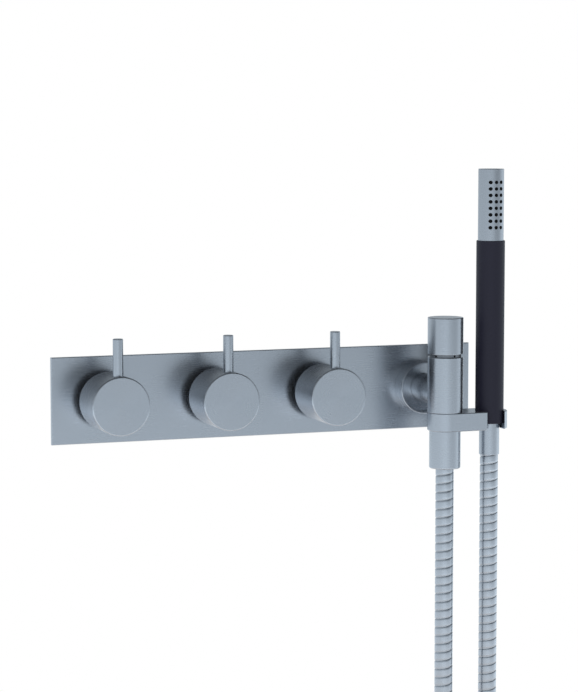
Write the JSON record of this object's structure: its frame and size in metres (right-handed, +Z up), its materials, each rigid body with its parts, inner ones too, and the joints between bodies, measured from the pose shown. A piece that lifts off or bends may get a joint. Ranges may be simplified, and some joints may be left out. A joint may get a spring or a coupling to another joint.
{
  "type": "concealed bath mixer",
  "caption": "Concealed bath mixer on one long plate: lever knobs for hot, cold and diverter, and a hand shower in a swivelling holder.",
  "frame": {"origin": "centre of the cover plate's wall side, in the plane of the finished wall", "axes": "+Z up, +Y into the wall, +X to the right for someone who faces the wall"},
  "size_m": [0.3503, 0.1235, 0.7804],
  "materials": {
    "steel": "fine brushed, cool grey",
    "hose_metal": "spiral-wound metal hose",
    "brass": "raw cast and machined",
    "zinc": "zinc plated",
    "ceramic": "lapped alumina ceramic",
    "white_plastic": "moulded acetal",
    "seal_rubber": "black rubber",
    "nozzle_rubber": "black silicone rubber",
    "grip_rubber": "satin soft-touch coating"
  },
  "bodies": {
    "root": {"cover_plate": "steel", "plate_seal": "seal_rubber", "concealed_body": "brass", "mounting_bracket": "zinc", "bracket_screws": "zinc", "hot_collar": "steel", "cold_collar": "steel", "diverter_collar": "steel", "hot_bonnet": "brass", "cold_bonnet": "brass", "diverter_bonnet": "brass", "hot_cartridge": "brass", "cold_cartridge": "brass", "diverter_cartridge": "brass", "hot_fixed_disc": "ceramic", "cold_fixed_disc": "ceramic", "diverter_fixed_disc": "ceramic", "spindle_o_rings": "seal_rubber", "cartridge_seals": "seal_rubber", "outlet_rosette": "steel", "rosette_o_ring": "seal_rubber", "neck_tube": "steel", "column_body": "steel", "air_ring": "steel", "column_cap": "steel", "check_valve_housing": "white_plastic", "check_valve_spring": "zinc", "outlet_sleeve": "steel", "hose_washer": "seal_rubber", "hose_tail": "steel", "hose_outlet_run": "hose_metal"},
    "hot_handle": {"hot_knob": "steel", "hot_lever": "steel", "hot_spindle": "brass", "hot_turning_disc": "ceramic"},
    "cold_handle": {"cold_knob": "steel", "cold_lever": "steel", "cold_spindle": "brass", "cold_turning_disc": "ceramic"},
    "diverter_handle": {"diverter_knob": "steel", "diverter_lever": "steel", "diverter_spindle": "brass", "diverter_turning_disc": "ceramic"},
    "vacuum_breaker": {"vacuum_float": "white_plastic"},
    "check_valve": {"check_valve_poppet": "white_plastic"},
    "holder": {"holder_arm": "steel", "swivel_washers": "seal_rubber", "hose_handset_run": "hose_metal"},
    "hose_end": {"hose_ferrule": "steel", "ferrule_o_ring": "seal_rubber"},
    "handset": {"handset_tube": "steel", "handset_grip": "grip_rubber", "nozzle_insert": "nozzle_rubber", "head_cap": "steel", "handset_connector": "steel", "connector_o_ring": "seal_rubber", "flow_filter": "white_plastic"}
  },
  "joints": [
    {"name": "hot_turn", "type": "hinge", "parent": "root", "child": "hot_handle", "pos_m": [-0.118, 0, 0], "axis": [0, -1, 0], "range_deg": [0, 90]},
    {"name": "cold_turn", "type": "hinge", "parent": "root", "child": "cold_handle", "pos_m": [-0.04, 0, 0], "axis": [0, 1, 0], "range_deg": [0, 90]},
    {"name": "diverter_turn", "type": "hinge", "parent": "root", "child": "diverter_handle", "pos_m": [0.038, 0, 0], "axis": [0, 1, 0], "range_deg": [0, 90]},
    {"name": "float_lift", "type": "slide", "parent": "root", "child": "vacuum_breaker", "axis": [0, 0, 1], "range_m": [0, 0.0034]},
    {"name": "check_valve_open", "type": "slide", "parent": "root", "child": "check_valve", "axis": [0, 0, -1], "range_m": [0, 0.003], "stiffness_N_per_m": 100, "springref_m": -0.002, "deforming": ["check_valve_spring"]},
    {"name": "holder_swivel", "type": "hinge", "parent": "root", "child": "holder", "pos_m": [0.116, -0.05, -0.0194], "axis": [0, 0, 1], "range_deg": [-160, 30], "deforming": ["hose_outlet_run"]},
    {"name": "handset_lift", "type": "slide", "parent": "holder", "child": "hose_end", "axis": [0, 0, 1], "range_m": [0, 0.06], "deforming": ["hose_handset_run"]},
    {"name": "handset_turn", "type": "hinge", "parent": "hose_end", "child": "handset", "pos_m": [0.15, -0.05, 0], "axis": [0, 0, 1], "continuous": true}
  ]
}
